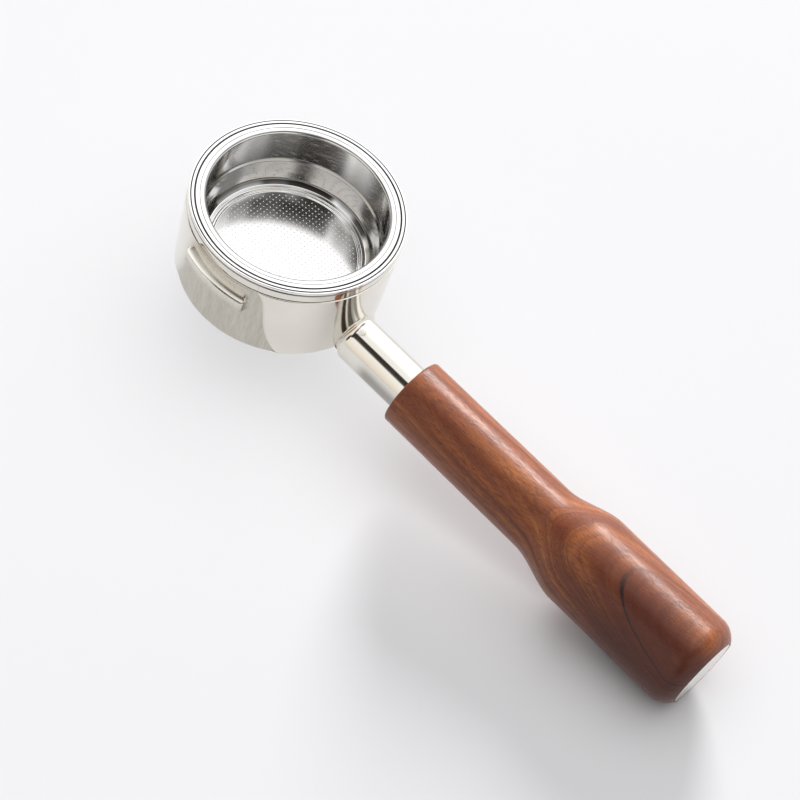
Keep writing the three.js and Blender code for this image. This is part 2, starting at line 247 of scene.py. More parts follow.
# Polished metal: its tone and gloss drift a little, and fine wiping marks break the gloss. It is
# darkened with painted shade where the painted-shade mark says and duller where the mark "plate" says.
def metalFinish(name, light, dark, gloss, drift, bump=0.02, milled=False):
    finish, g, shader = newFinish(name)
    cloud = g.noise(g.place(), 45.0, 4.0)
    fine = g.noise(g.place(scale=(60, 60, 60)), 12.0, 5.0, 0.6)
    tone = g.ramp(cloud, [(0.3, dark), (0.7, light)])
    # painted shade: the tone is blended towards dark grey where the painted-shade mark is set
    tone = g.blend(g.mark("paintedShade"), tone, shade(58, 57, 55))
    rough = g.span(g.math("ADD", g.math("MULTIPLY", cloud, 0.6), g.math("MULTIPLY", fine, 0.4)),
                   0.35, 0.65, gloss, gloss + drift)
    height = g.math("MULTIPLY", fine, 0.15)
    if milled:     # brushed ground on the pads round the ears
        pad = g.mark("milled")
        lines = g.noise(g.place(scale=(420, 420, 9)), 12.0, 4.0, 0.6)
        broad = g.noise(g.place(scale=(70, 70, 3)), 6.0, 3.0, 0.5)
        mixed = g.math("ADD", g.math("MULTIPLY", lines, 0.7), g.math("MULTIPLY", broad, 0.3))
        ground = g.ramp(mixed, [(0.36, shade(172, 168, 158)), (0.5, shade(190, 186, 176)),
                                (0.66, shade(203, 199, 190))])
        tone = g.blend(pad, tone, ground)
        rough = g.math("ADD", rough, g.math("MULTIPLY", pad, g.span(lines, 0.35, 0.65, 0.24, 0.32)))
        height = g.math("ADD", height, g.math("MULTIPLY", pad, g.math("MULTIPLY", mixed, 0.8)))
    rough = g.math("ADD", rough, g.math("MULTIPLY", g.mark("plate"), 0.08))
    g.tree.links.new(tone, shader.inputs["Base Color"])
    g.tree.links.new(rough, shader.inputs["Roughness"])
    shader.inputs["Metallic"].default_value = 1.0
    lift = g.add("Bump", {"Height": height, "Strength": bump, "Distance": 0.0003})
    g.tree.links.new(lift.outputs[0], shader.inputs["Normal"])
    return finish


# Cup: wall, collar, two ears on milled pads.

cup = dict(
    rim=-1.5, collar=34.8, ledge=-4.75, wallTop=35.1, wallFoot=34.0, foot=-34.3, footRounding=2.4,
    bore=30.4,
    ledgeOut=34.95, ledgeIn=34.45, rimShadeRadius=34.6, ledgeShadeRadius=34.5,
    spring=-17.0, grooveHalf=0.95, grooveDepth=1.2,
    earAngle=-91.5, earHalf=19.8, earBase=34.6, earRadius=38.4, earTop=-8.7, earThick=5.0, earLand=0.22,
    earRamp=0.0885, rampRadius=36, rampFade=(24, 60), lugFoot=1.6,
    endRadius=36.5, endRounding=1.5, endFlat=0.15, endHollow=2.6,
    padDepth=0.45, padStep=0.42, padFade=9.0,
    padHeights=(-5.0, -7.0, -9.6, -15.0, -22.4, -28.0, -32.4, -34.3),
    padAngles=(24.3, 26.7, 28.0, 30.0, 32.6, 36.6, 42.0, 45.0),
)


# Half angle of the pad at a height: a polynomial of degree 5 fitted to the listed heights and angles.
def padEdge(height):
    curve = np.polyfit(cup["padHeights"], cup["padAngles"], 5)
    return np.polyval(curve, np.clip(height, cup["padHeights"][-1], cup["padHeights"][0]))


# The wall is a slim cone, stepped back by the pad's depth inside the pad's edge. The step is sharp
# on one side of each ear and fades out on the other. Also gives how far a spot is on the pad (0-1).
def wallRadius(height, angle):
    fall = (cup["ledge"] - height) / (cup["ledge"] - cup["foot"])
    cone = cup["wallTop"] + (cup["wallFoot"] - cup["wallTop"]) * fall
    edge = padEdge(height)
    soft = np.where(angle < 0, cup["padFade"], cup["padStep"])
    inside = 1 - ease(np.abs(angle), edge - soft, edge + cup["padStep"])
    return cone - cup["padDepth"] * inside, inside


# Columns for half a turn: angle from the ear's middle and how far the ear stands out there (0-1).
def cupColumns(height):
    depth = cup["earRadius"] - cup["earBase"]
    rounding, flat, hollow = cup["endRounding"], cup["endFlat"], cup["endHollow"]
    t = np.linspace(0, math.pi / 2, 7)
    across = np.concatenate([-rounding + rounding * np.sin(t), np.linspace(0, flat, 4)[1:-1],
                             flat + hollow * (1 - np.cos(t))])
    out = np.concatenate([depth - rounding * (1 - np.cos(t)),
                          np.linspace(depth - rounding, hollow, 4)[1:-1],
                          hollow * (1 - np.sin(t))]) / depth
    endAngle = cup["earHalf"] + np.degrees(across / cup["endRadius"])
    body = np.linspace(0, endAngle[0], 22)[:-1]
    edge = padEdge(height)[:, None]
    low, high = edge - cup["padStep"], edge + cup["padStep"]
    near = endAngle[-1] + (low - endAngle[-1]) * np.linspace(0, 1, 8)[1:-1]
    step = low + (high - low) * np.linspace(0, 1, 9)
    far = high + (90 - high) * np.linspace(0, 1, 42)[1:]
    rows = len(height)
    angle = np.concatenate([np.repeat(body[None], rows, 0), np.repeat(endAngle[None], rows, 0),
                            near, step, far], 1)
    ear = np.concatenate([np.ones(len(body)), out, np.zeros(near.shape[1] + step.shape[1] + far.shape[1])])
    return angle, ear


# Rows of the cup's section go from the foot up the wall, over the ear's lug and cove and the rim,
# and down the bore; each is carried round by the columns, the ear's offset fading in and out.
def makeCup():
    c = cup
    under = c["earTop"] - c["earThick"]
    lugFoot = under - c["lugFoot"]
    footTop = c["foot"] + c["footRounding"]
    reach = c["earRadius"] - c["earBase"]
    coveHigh = c["ledge"] - 0.5 - c["earTop"]
    cove = [((reach - c["earLand"]) * (1 - math.sin(t)), c["earTop"] + coveHigh * (1 - math.cos(t)))
            for t in np.linspace(0.04, math.pi / 2, 16)]
    lug = filleted([(0, lugFoot), (0, under, 0.9), (reach, under, 1.2), (reach, c["earTop"], 0.3),
                    (cove[0][0] + 0.02, c["earTop"])], 6, closed=False)
    lug = np.concatenate([lug, np.array(cove)])
    # a row: height, on the wall (1) or not (0), inset from the wall or own radius, ear offset, ramp share
    rows = [(c["foot"], 1, c["footRounding"] + 1.0, 0, 0)]
    for t in np.linspace(0, math.pi / 2, 9):
        rows.append((c["foot"] + c["footRounding"] * (1 - math.cos(t)), 1,
                     c["footRounding"] * (1 - math.sin(t)), 0, 0))
    for t in np.linspace(0, 1, 17)[1:-1]:
        rows.append((footTop + (lugFoot - c["foot"] - c["footRounding"]) * t, 1, 0, 0, t))
    for offset, height in lug:       # the ramp fades out up the cove, which always ends under the ledge
        rows.append((height, 1, 0, offset, min(1.0, (lug[-1][1] - height) / coveHigh)))
    top = c["ledge"] - 0.3
    for t in np.linspace(0, 1, 4)[1:]:
        rows.append((lug[-1][1] + (top - lug[-1][1]) * t, 1, 0, 0, 0))
    ledge = filleted([(c["ledgeOut"], c["ledge"] - 0.1), (c["ledgeIn"], c["ledge"] - 0.02, 0.05),
                      (c["ledgeIn"], c["ledge"] + 0.25, 0.05), (c["collar"], c["ledge"] + 0.3, 0.08),
                      (c["collar"], c["rim"], 0.5), (c["bore"], c["rim"], 0.9),
                      (c["bore"], c["spring"] + c["grooveHalf"], 0.15),
                      (c["bore"] + c["grooveDepth"], c["spring"] + c["grooveHalf"], 0.3),
                      (c["bore"] + c["grooveDepth"], c["spring"] - c["grooveHalf"], 0.3),
                      (c["bore"], c["spring"] - c["grooveHalf"], 0.15), (c["bore"], c["foot"], 0.8),
                      (c["bore"] + 1.2, c["foot"])], 5, closed=False)
    rows += [(height, 0, radius, 0, 0) for radius, height in ledge]
    height, onWall, size, offset, ramp = np.array(rows).T
    half, ear = cupColumns(height)
    angle = np.concatenate([-half[:, :0:-1], half[:, :-1]], 1)
    ear = np.concatenate([ear[:0:-1], ear[:-1]])
    angle = np.concatenate([angle, angle], 1)
    turn = np.concatenate([np.zeros(len(ear)), np.full(len(ear), 180.0)])
    ear = np.concatenate([ear, ear])
    sideways = np.radians(angle)
    fade = 1 - ease(np.abs(angle), *c["rampFade"])
    level = height[:, None] - c["earRamp"] * c["rampRadius"] * np.sin(sideways) * fade * ramp[:, None]
    wall, inside = wallRadius(level, angle)
    # the foot's arc and the rows under it follow the wall above them
    seat, _ = wallRadius(np.full_like(level, footTop), angle)
    wall = np.where(height[:, None] < footTop, seat, wall)
    radius = np.where(onWall[:, None] > 0, wall - size[:, None], size[:, None])
    radius = radius + ear[None] * offset[:, None]
    azimuth = sideways + np.radians(c["earAngle"] + turn)[None]
    points = np.stack([radius * np.cos(azimuth), radius * np.sin(azimuth), level + 0 * azimuth], -1)
    cove = ear[None] * ease(height, c["earTop"] - 0.1, c["earTop"] + 0.4)[:, None]
    edge = ear[None] * (1 - ease(np.abs(height - c["earTop"] + 0.12), 0.15, 0.4))[:, None]
    milled = inside * (onWall[:, None] > 0) * (1 - 0.2 * cove) * (1 - 0.8 * edge)
    # painted shade at the rim's outer corner under the basket's flange and in the step of the ledge
    atRim = (onWall < 1) * (np.abs(size - c["rimShadeRadius"]) < 0.25) * (np.abs(height - c["rim"]) < 0.35)
    atLedge = (onWall < 1) * (np.abs(size - c["ledgeShadeRadius"]) < 0.1) * (height < c["ledge"] + 0.27)
    paintedShade = np.maximum(atRim * 0.7, atLedge)
    paintedShade = np.repeat(paintedShade[:, None] * 1.0, points.shape[1], 1)
    faces = gridFaces(*points.shape[:2], True, True)
    return points.reshape(-1, 3), faces, milled.reshape(-1), paintedShade.reshape(-1)


# Neck: a straight bar with a rounded nose under the cup and a fillet against its wall.

neck = dict(radius=8.05, fillet=1.9, noseStart=35.2, noseEnd=30.6, noseSlope=2.0, hidden=32.2,
            evenFrom=46.0, straightFrom=47.0, end=71.0, groove=64.0, grooveWide=1.9, grooveDepth=1.15,
            bore=4.3, boreEnd=41.0, underShade=0.55, underShadeFrom=41.0)


# Station at which a line along the handle, off its axis by radius and angle, comes out of the wall:
# the guess is moved by what it is short of the wall, 30 times over, and has settled by then.
def wallStation(radius, angle):
    station = np.full(np.shape(radius + angle), cup["wallFoot"])
    for _ in range(30):
        spot = aroundHandle(radius + 0 * angle, station, angle + 0 * radius)
        wall, _ = wallRadius(spot[..., 2], np.full(spot.shape[:-1], 90.0))
        inside = np.sqrt(np.maximum(wall ** 2 - spot[..., 1] ** 2, 1.0))
        station = station + (inside - spot[..., 0])
    return station


def makeNeck():
    n = neck
    columns = 128
    angle = np.arange(columns) * 2 * math.pi / columns
    upper = ease(np.cos(angle), -0.10, 0.30)        # 1 where the bar meets the wall, 0 below the foot
    fillet = n["fillet"] * upper
    rows = []
    for t in np.linspace(0.02, 1, 14):               # nose: quarter ellipse below, hidden in the wall above
        quarter = t * math.pi / 2
        low = (n["radius"] * math.sin(quarter),
               n["noseStart"] - (n["noseStart"] - n["noseEnd"]) * math.cos(quarter))
        hidden = (n["radius"] + fillet) * t, np.full(columns, n["hidden"])
        rows.append((low[0] * (1 - upper) + hidden[0] * upper, low[1] * (1 - upper) + hidden[1] * upper))
    for t in np.linspace(0, math.pi / 2, 16):        # fillet: quarter arc measured from the wall
        radius = n["radius"] + fillet * (1 - math.sin(t))
        station = wallStation(radius, angle) + fillet * (1 - math.cos(t)) - 0.02
        low = n["noseStart"] + n["noseSlope"] * t / (math.pi / 2)
        rows.append((radius, station * upper + low * (1 - upper)))
    flat = np.ones(columns)
    last = rows[-1][1]
    for t in np.linspace(0, 1, 8)[1:]:
        rows.append((n["radius"] * flat, last * (1 - t) + n["evenFrom"] * t))
    grooveFloor, grooveEnd = n["radius"] - n["grooveDepth"], n["groove"] + n["grooveWide"]
    rest = filleted([(n["radius"], n["straightFrom"]), (n["radius"], n["groove"], 0.1),
                     (grooveFloor, n["groove"], 0.1), (grooveFloor, grooveEnd, 0.1),
                     (n["radius"], grooveEnd, 0.1), (n["radius"], n["end"], 0.8), (n["bore"], n["end"], 0.3),
                     (n["bore"], n["boreEnd"], 0.1), (0.0, n["boreEnd"] - 2.2)], 4, closed=False)
    for radius, station in rest:
        rows.append((radius * flat, station * flat))
    radius = np.array([r[0] for r in rows])
    station = np.array([r[1] for r in rows])
    radius[0] = 0
    station[0] = n["noseEnd"]
    points = aroundHandle(radius, station, np.repeat(angle[None], len(rows), 0))
    underside = ease(-np.cos(angle), -0.5, -0.05)[None]      # painted shade on the underside, darker than the top
    underShade = n["underShade"] * underside * ease(station, n["underShadeFrom"], n["evenFrom"])
    return points.reshape(-1, 3), gridFaces(len(rows), columns, False, True)[:, ::-1], underShade.reshape(-1)


# Filter basket: drawn sheet, raised ring, holes on a square grid.

basket = dict(
    flange=35.0, thick=1.2, inner=29.3, sheet=0.6, lip=1.3, step=-13.0, stepIn=0.7, floor=-23.2, bead=25.4,
    # scored lines on the flange: radius, height, rounding
    flangeLines=[(31.17, 0.0, 0.05), (31.3, -0.14, 0.05), (31.45, 0.0, 0.05),
                 (32.68, 0.0, 0.12), (32.8, -0.40, 0.1), (33.1, -0.40, 0.1), (33.22, 0.0, 0.12),
                 (34.02, 0.0, 0.08), (34.14, -0.3, 0.05), (34.3, -0.3, 0.05), (34.42, -0.08, 0.08)],
    # painted shade in the grooves of those lines, at the lip, the edge and the foot of the wall: share,
    # radii, heights
    shadeBands=[(1.0, 32.66, 33.24, -0.5, -0.02), (0.8, 31.18, 31.44, -0.3, -0.02),
             (1.0, 34.03, 34.42, -0.5, -0.02), (0.7, 29.6, 30.05, -1.2, 0.1),
             (0.45, 34.5, 35.1, -1.4, -0.9), (0.75, 27.0, 27.75, -23.0, -20.6)],
    fieldRadius=22.6, pitch=1.5, hole=0.24, holeSides=8, plateRadius=23.3, turns=192,
)


# A profile turned about the cup's axis: up the inside, over the flange and down the outside, open
# at the plate with the holes.
def basketShell():
    b = basket
    low, inner, sheet = b["inner"] - b["stepIn"], b["inner"], b["sheet"]
    floor, under = b["floor"], b["floor"] - b["sheet"]
    section = [
        (b["plateRadius"], floor), (b["bead"] - 1.75, floor, 0.25), (b["bead"] - 1.45, floor + 0.42, 0.25),
        (b["bead"] - 0.95, floor + 0.45, 0.15), (b["bead"] - 0.7, floor + 0.9, 0.3),
        (b["bead"] + 0.55, floor + 0.95, 0.5),
        (low - 1.0, floor + 2.2, 1.2), (low - 0.55, floor + 5.0, 2.0), (low, b["step"] - 0.55, 0.5),
        (inner, b["step"] + 0.25, 0.5), (inner, 0.0, b["lip"] - 0.05), *b["flangeLines"],
        (b["flange"], -0.1, 0.4),
        (b["flange"], -b["thick"], 0.35), (inner + sheet, -b["thick"], 1.1),
        (inner + sheet, b["step"] + 0.05, 0.6), (low + sheet, b["step"] - 0.85, 0.6),
        (low + 0.05, under + 5.0, 2.0),
        (low - 0.45, under + 1.8, 1.2), (b["bead"] + 0.3, under + 0.35, 0.5), (b["bead"] - 0.9, under, 0.3),
        (b["plateRadius"], under),
    ]
    profile = filleted(section, 5)
    radius, height = profile.T
    # painted shade in grooves and hollows: share, radii and heights between which it lies
    shadeShare = np.zeros(len(radius))
    for share, innerR, outerR, low, high in b["shadeBands"]:
        there = (radius > innerR) & (radius < outerR) & (height > low) & (height < high)
        shadeShare = np.maximum(shadeShare, share * there)
    # painted shade on the wall between the rim and the ring, growing in just below the rim, less below the
    # step
    wall = (radius < b["inner"] + 0.05) & (radius > b["bead"] + 1.2)
    depth = ease(-height, 0.8, 2.6) * (0.62 - 0.24 * ease(-height, -b["step"], 1 - b["step"]))
    shadeShare = np.maximum(shadeShare, depth * wall)
    points, faces = turned(profile, b["turns"], closed=False)
    atPlate = (radius < b["plateRadius"] + 0.01) * 1.0
    return points, faces, np.repeat(shadeShare, b["turns"]), np.repeat(atPlate, b["turns"])


# Flat plate cut by polygons: a constrained triangulation of the circle and the holes, with the
# triangles inside the holes left out, doubled for the underside and joined by the holes' walls.
def basketPlate():
    b = basket
    reach = int(b["fieldRadius"] / b["pitch"]) + 1
    grid = np.arange(-reach, reach + 1) * b["pitch"]
    gx, gy = np.meshgrid(grid, grid, indexing="ij")
    centres = np.stack([gx.ravel(), gy.ravel()], 1)
    centres = centres[np.hypot(*centres.T) <= b["fieldRadius"]]
    sides = b["holeSides"]
    spin = (np.arange(sides) + 0.5) * 2 * math.pi / sides
    ring = b["hole"] * np.stack([np.cos(spin), np.sin(spin)], 1)
    holes = (centres[:, None] + ring[None]).reshape(-1, 2)
    around = np.arange(b["turns"]) * 2 * math.pi / b["turns"]
    edge = b["plateRadius"] * np.stack([np.cos(around), np.sin(around)], 1)
    flat = np.concatenate([edge, holes])
    first = np.arange(len(flat))
    after = first + 1
    after[b["turns"] - 1] = 0
    hole = first[b["turns"]:].reshape(-1, sides)
    after[hole[:, -1]] = hole[:, 0]
    edges = np.stack([first, after], 1).tolist()
    made = geometry.delaunay_2d_cdt([Vector(p) for p in flat.tolist()], edges, [], 0, 1e-6)
    spots = np.array(made[0])      # the corners given, in their order
    tris = np.array([f for f in made[2] if len(f) == 3])
    middle = spots[tris].mean(1)
    nearest = np.round(middle / b["pitch"]) * b["pitch"]
    away = np.hypot(*(middle - nearest).T)
    inHole = (away < b["hole"] * 0.93) & (np.hypot(*nearest.T) <= b["fieldRadius"])
    tris = tris[~inHole]
    turnWay = np.cross(spots[tris[:, 1]] - spots[tris[:, 0]], spots[tris[:, 2]] - spots[tris[:, 0]])
    tris[turnWay < 0] = tris[turnWay < 0][:, ::-1]
    count = len(spots)
    top = np.concatenate([spots, np.full((count, 1), b["floor"])], 1)
    low = np.concatenate([spots, np.full((count, 1), b["floor"] - b["sheet"])], 1)
    wallA, wallB = hole.ravel(), np.roll(hole, -1, 1).ravel()
    wall = np.stack([wallB, wallA, wallA + count, wallB + count], 1)[:, ::-1]
    quads = np.concatenate([tris, tris[:, 2:]], 1)
    under = quads[:, [0, 2, 1, 1]] + count
    groups = np.concatenate([np.zeros(len(quads) + len(under), int), 1 + np.arange(len(wall)) // sides])
    return np.concatenate([top, low]), np.concatenate([quads, under, wall]), groups


# Grip: turned rosewood.

grip = dict(
    start=59.0, end=187.4, frontRadius=12.0, waistRadius=12.25, swellRadius=16.5,
    swellStart=117.5, swellEnd=137.0, frontRounding=0.8, endRounding=8.0,
    pocket=12.48, pocketDeep=2.7, counterbore=9.2, nutSeat=161.7, through=4.4,
    neckPocket=8.2, neckEnd=72.5, tailFrom=179.0, tailGap=0.12, columns=224,
)


# Radius along the grip: a slight taper, an eased swell, and an arc of a circle down to the end disc.
def gripRadius(station):
    g = grip
    front = g["frontRadius"] + (g["waistRadius"] - g["frontRadius"]) * np.clip(
        (station - g["start"]) / (g["swellStart"] - g["start"]), 0, 1)
    radius = front + (g["swellRadius"] - g["waistRadius"]) * ease(station, g["swellStart"], g["swellEnd"])
    drop = g["swellRadius"] - g["pocket"]
    tail = math.sqrt(g["endRounding"] ** 2 - (g["endRounding"] - drop) ** 2)
    past = np.clip(station - (g["end"] - tail), 0, None)
    return radius - (g["endRounding"] - np.sqrt(g["endRounding"] ** 2 - past ** 2))


figure = dict(tilt=20, slope=0.045, swellSlope=0.15, swellAt=121, swellSoft=7,
              leanBy=1.5, leanSide=8.5, leanWide=5.0, leanFrom=125, leanTo=150)


# How far through the growth rings a spot on the grip lies, in millimetres: its height towards the
# ring direction plus a slope along the handle, steeper in the swell, with two slow waves and a lean
# on one side.
def growthAt(radius, station, angle):
    f = figure
    towards = radius * np.cos(angle - math.radians(f["tilt"]))
    aside = radius * np.sin(angle - math.radians(f["tilt"]))
    swell = np.log1p(np.exp((station - f["swellAt"]) / f["swellSoft"]))
    slope = f["slope"] * station + f["swellSlope"] * f["swellSoft"] * swell
    wave = 0.16 * np.sin(station / 13 + aside / 9) + 0.09 * np.sin(station / 6.1 - aside / 5 + 1.1)
    lean = f["leanBy"] * np.exp(-((aside + f["leanSide"]) / f["leanWide"]) ** 2)
    lean = lean * ease(station, f["leanFrom"], f["leanTo"])
    return towards + slope + wave + lean, aside


def makeGrip():
    g = grip
    tailEnd, pocketFloor = g["end"] - g["tailGap"], g["end"] - g["pocketDeep"]
    nose = filleted([(g["frontRadius"] - 2.5, g["start"]), (g["frontRadius"], g["start"], g["frontRounding"]),
                     (g["frontRadius"] + 0.01, g["start"] + 2.5)], 8, closed=False)[1:-1]
    stations = np.concatenate([
        np.linspace(g["start"] + 1.0, g["swellStart"], 60)[:-1],
        np.linspace(g["swellStart"], g["swellEnd"], 60)[:-1],
        np.linspace(g["swellEnd"], g["tailFrom"], 60)[:-1], np.linspace(g["tailFrom"], tailEnd, 40)])
    outer = np.stack([gripRadius(stations), stations], 1)
    inner = filleted([(outer[-1][0], tailEnd), (g["pocket"] + 0.1, g["end"], 0.1),
                      (g["pocket"], g["end"] - 0.25, 0.1), (g["pocket"], pocketFloor, 0.1),
                      (g["counterbore"], pocketFloor, 0.2), (g["counterbore"], g["nutSeat"], 0.2),
                      (g["through"], g["nutSeat"], 0.2), (g["through"], g["neckEnd"], 0.2),
                      (g["neckPocket"], g["neckEnd"], 0.2), (g["neckPocket"], g["start"], 0.35),
                      (g["frontRadius"] - 2.5, g["start"])], 4, closed=False)[1:]
    profile = np.concatenate([nose, outer, inner])
    points, faces = turned(profile, g["columns"], onHandle=True)
    angle = np.tile(np.arange(g["columns"]) * 2 * math.pi / g["columns"], len(profile))
    radius = np.repeat(profile[:, 0], g["columns"])
    station = np.repeat(profile[:, 1], g["columns"])
    growth, aside = growthAt(radius, station, angle)
    return points, faces[:, ::-1], {"growth": growth, "aside": aside}


# Dark lines of the figure: growth level, half width, depth, and the sides between which each fades in.
woodLines = [
    (27.9, 0.26, 0.95, -4.0, 3.0), (27.9, 0.24, 0.30, 4.0, -3.0), (24.2, 0.30, 0.40, 6.0, 12.0),
    (23.3, 0.24, 0.40, 5.0, 11.0), (22.5, 0.26, 0.45, 4.0, 10.0), (21.3, 0.22, 0.26, -2.0, 6.0),
    (20.2, 0.22, 0.22, -2.0, 8.0), (25.6, 0.22, 0.22, 6.0, 12.0),
]


# Rosewood: bands that follow the growth mark, dark lines of figure, fibres and open pores.
def woodFinish():
    finish, g, shader = newFinish("oiled rosewood")
    growth = g.mark("growth")
    turn = (0, -handle["slope"], 0)

    def texture(lengthwise, across, detail, rough):      # noise drawn out along the handle
        return g.noise(g.place(turn, (lengthwise, across, across)), 1.0, detail, rough)

    fibre = texture(70, 1500, 4.0, 0.65)
    pore = texture(300, 4200, 2.0, 0.5)
    cloud = texture(18, 95, 3.0, 0.55)
    mottle = texture(90, 240, 4.0, 0.6)
    speck = texture(900, 2800, 2.0, 0.6)
    jag = g.math("MULTIPLY", g.math("SUBTRACT", texture(260, 420, 4.0, 0.7), 0.5), 0.55)
    bent = g.math("ADD", growth, g.math("MULTIPLY", g.math("SUBTRACT", cloud, 0.5), 1.3))
    jagged = g.math("ADD", bent, g.math("MULTIPLY", g.math("SUBTRACT", fibre, 0.5), 0.5))
    along = g.add("SeparateXYZ", {0: g.place(turn)}).outputs[0]

    def bands(through, lengthwise, detail, rough):      # noise that follows the growth mark
        spot = g.add("CombineXYZ", {0: g.math("MULTIPLY", jagged, through),
                                    1: g.math("MULTIPLY", along, lengthwise)}).outputs[0]
        return g.noise(spot, 1.0, detail, rough)

    broad = bands(0.5, 5.0, 2.0, 0.5)
    fine = bands(2.4, 12.0, 4.0, 0.6)
    tone = g.ramp(broad, [(0.30, shade(98, 46, 24)), (0.45, shade(130, 68, 34)), (0.6, shade(152, 86, 44)),
                          (0.78, shade(178, 106, 56))])
    tone = g.blend(g.span(fine, 0.50, 0.36, 0.0, 0.44), tone, shade(74, 32, 20))
    tone = g.blend(g.span(mottle, 0.48, 0.68, 0.0, 0.40), tone, shade(96, 40, 23))
    tone = g.blend(g.span(fibre, 0.5, 0.32, 0.0, 0.40), tone, shade(84, 38, 22))
    tone = g.blend(g.span(pore, 0.46, 0.33, 0.0, 0.75), tone, shade(56, 26, 17))
    tone = g.blend(g.span(speck, 0.56, 0.8, 0.0, 0.35), tone, shade(196, 122, 72))
    side = g.mark("aside")
    spine = g.math("ABSOLUTE", g.math("SUBTRACT", g.math("ADD", side, g.math("MULTIPLY", jag, 3.0)), 3.0))
    spine = g.math("MULTIPLY", g.span(spine, 4.2, 0.8, 0.0, 0.42), g.span(along, 0.060, 0.035))
    tone = g.blend(spine, tone, shade(84, 34, 20))      # darker heart line along the slim half
    heart = g.math("MULTIPLY", g.span(along, 0.048, 0.085, 0.0, 0.85), g.span(side, -7, 3))
    tone = g.blend(heart, tone, shade(72, 28, 18))      # the thick half is darker on one side
    lines = g.math("ADD", growth, jag)
    for level, wide, depth, low, high in woodLines:     # thin dark lines of the figure
        away = g.math("ABSOLUTE", g.math("SUBTRACT", lines, level))
        part = g.math("MULTIPLY", g.span(away, wide, wide * 0.3, 0.0, depth), g.span(side, low, high))
        tone = g.blend(part, tone, shade(34, 17, 14))
    g.tree.links.new(tone, shader.inputs["Base Color"])
    rough = g.span(g.math("ADD", pore, fibre), 0.7, 1.2, 0.44, 0.30)
    g.tree.links.new(rough, shader.inputs["Roughness"])
    height = g.math("ADD", g.span(pore, 0.3, 0.45, 0.0, 1.0), g.math("MULTIPLY", fibre, 0.6))
    lift = g.add("Bump", {"Height": height, "Strength": 0.22, "Distance": 0.0002})
    g.tree.links.new(lift.outputs[0], shader.inputs["Normal"])
    shader.inputs["Specular IOR Level"].default_value = 0.3
    shader.inputs["Coat Weight"].default_value = 0.2
    shader.inputs["Coat Roughness"].default_value = 0.25
    return finish


# End disc.

cap = dict(radius=12.3, end=187.4, thick=2.4, bossRadius=8.6, bossLong=8.0, grooveHalf=1.0, grooveDepth=1.2)


# Disc, boss and ring groove: one profile turned about the handle's axis.
def makeCap():
    c = cap
    face = c["end"] - c["thick"]
    middle = face - c["bossLong"] / 2
    ring = c["bossRadius"] - c["grooveDepth"]
    profile = filleted([
        (0.0, face - c["bossLong"]), (c["bossRadius"], face - c["bossLong"], 0.6),
        (c["bossRadius"], middle - c["grooveHalf"], 0.1), (ring, middle - c["grooveHalf"], 0.1),
        (ring, middle + c["grooveHalf"], 0.1), (c["bossRadius"], middle + c["grooveHalf"], 0.1),
        (c["bossRadius"], face, 0.15), (c["radius"], face, 0.2), (c["radius"], c["end"] - 0.1, 0.5),
        (c["radius"] - 1.2, c["end"], 1.0), (0.0, c["end"])], 5, closed=False)
    points, faces = turned(profile, 128, onHandle=True, closed=False)
    return points, faces[:, ::-1]


# Build.

steel = metalFinish("polished cast steel", shade(229, 226, 218), shade(220, 216, 207), 0.05, 0.04,
                    milled=True)
sheetSteel = metalFinish("drawn basket steel", shade(240, 240, 239), shade(232, 231, 229), 0.08, 0.03,
                         0.005)
capSteel = metalFinish("faced steel disc", shade(226, 224, 220), shade(212, 209, 203), 0.14, 0.08, 0.05)
wood = woodFinish()
print("finishes ready")

cupPoints, cupFaces, milled, cupPaintedShade = makeCup()
neckPoints, neckFaces, neckUnderShade = makeNeck()
allPoints = np.concatenate([cupPoints, neckPoints])
allFaces = np.concatenate([cupFaces, neckFaces + len(cupPoints)])
# the cup's painted shade and the painted shade under the neck share one mark
addPiece("cup", allPoints, allFaces, "cup", "cup_body", steel,
         marks={"milled": np.concatenate([milled, np.zeros(len(neckPoints))]),
                "paintedShade": np.concatenate([cupPaintedShade, neckUnderShade])})

shellPoints, shellFaces, shellPaintedShade, shellPlate = basketShell()
platePoints, plateFaces, plateGroups = basketPlate()
basketPoints = np.concatenate([shellPoints, platePoints])
basketFaces = np.concatenate([shellFaces[:, ::-1], plateFaces + len(shellPoints)])
# the shell's painted shade goes in the same mark as the cup's
addPiece("basket", basketPoints, basketFaces, "basket", "filter_basket", sheetSteel,
         marks={"paintedShade": np.concatenate([shellPaintedShade, np.zeros(len(platePoints))]),
                "plate": np.concatenate([shellPlate, np.ones(len(platePoints))])},
         groups=np.concatenate([np.zeros(len(shellFaces), int), plateGroups]))

gripPoints, gripFaces, grain = makeGrip()
addPiece("grip", gripPoints, gripFaces, "cup", "wooden_grip", wood, marks=grain)

capPoints, capFaces = makeCap()
addPiece("end_disc", capPoints, capFaces, "cup", "end_cap", capSteel)

springSteel = metalFinish("spring wire", shade(190, 190, 188), shade(165, 165, 163), 0.2, 0.1)
plated = metalFinish("zinc plate", shade(186, 190, 194), shade(160, 164, 168), 0.28, 0.15)
rubber, rubberGraph, rubberShader = newFinish("black rubber")
dust = rubberGraph.noise(rubberGraph.place(), 900.0, 4.0, 0.6)
rubberTone = rubberGraph.ramp(dust, [(0.4, shade(26, 26, 27)), (0.7, shade(44, 43, 42))])
rubberGraph.tree.links.new(rubberTone, rubberShader.inputs["Base Color"])
rubberGraph.tree.links.new(rubberGraph.span(dust, 0.3, 0.7, 0.7, 0.85), rubberShader.inputs["Roughness"])
hidden = dict(basket_spring=springSteel, handle_stud=plated, flat_washer=plated, spring_washer=plated,
              hex_nut=plated, neck_o_ring=rubber, cap_o_ring=rubber)
for node, finish in hidden.items():      # these keep the solids' own shapes
    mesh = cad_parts[node].data
    mesh.materials.clear()
    mesh.materials.append(finish)
print("hidden pieces finished")


# Floor, light, camera.

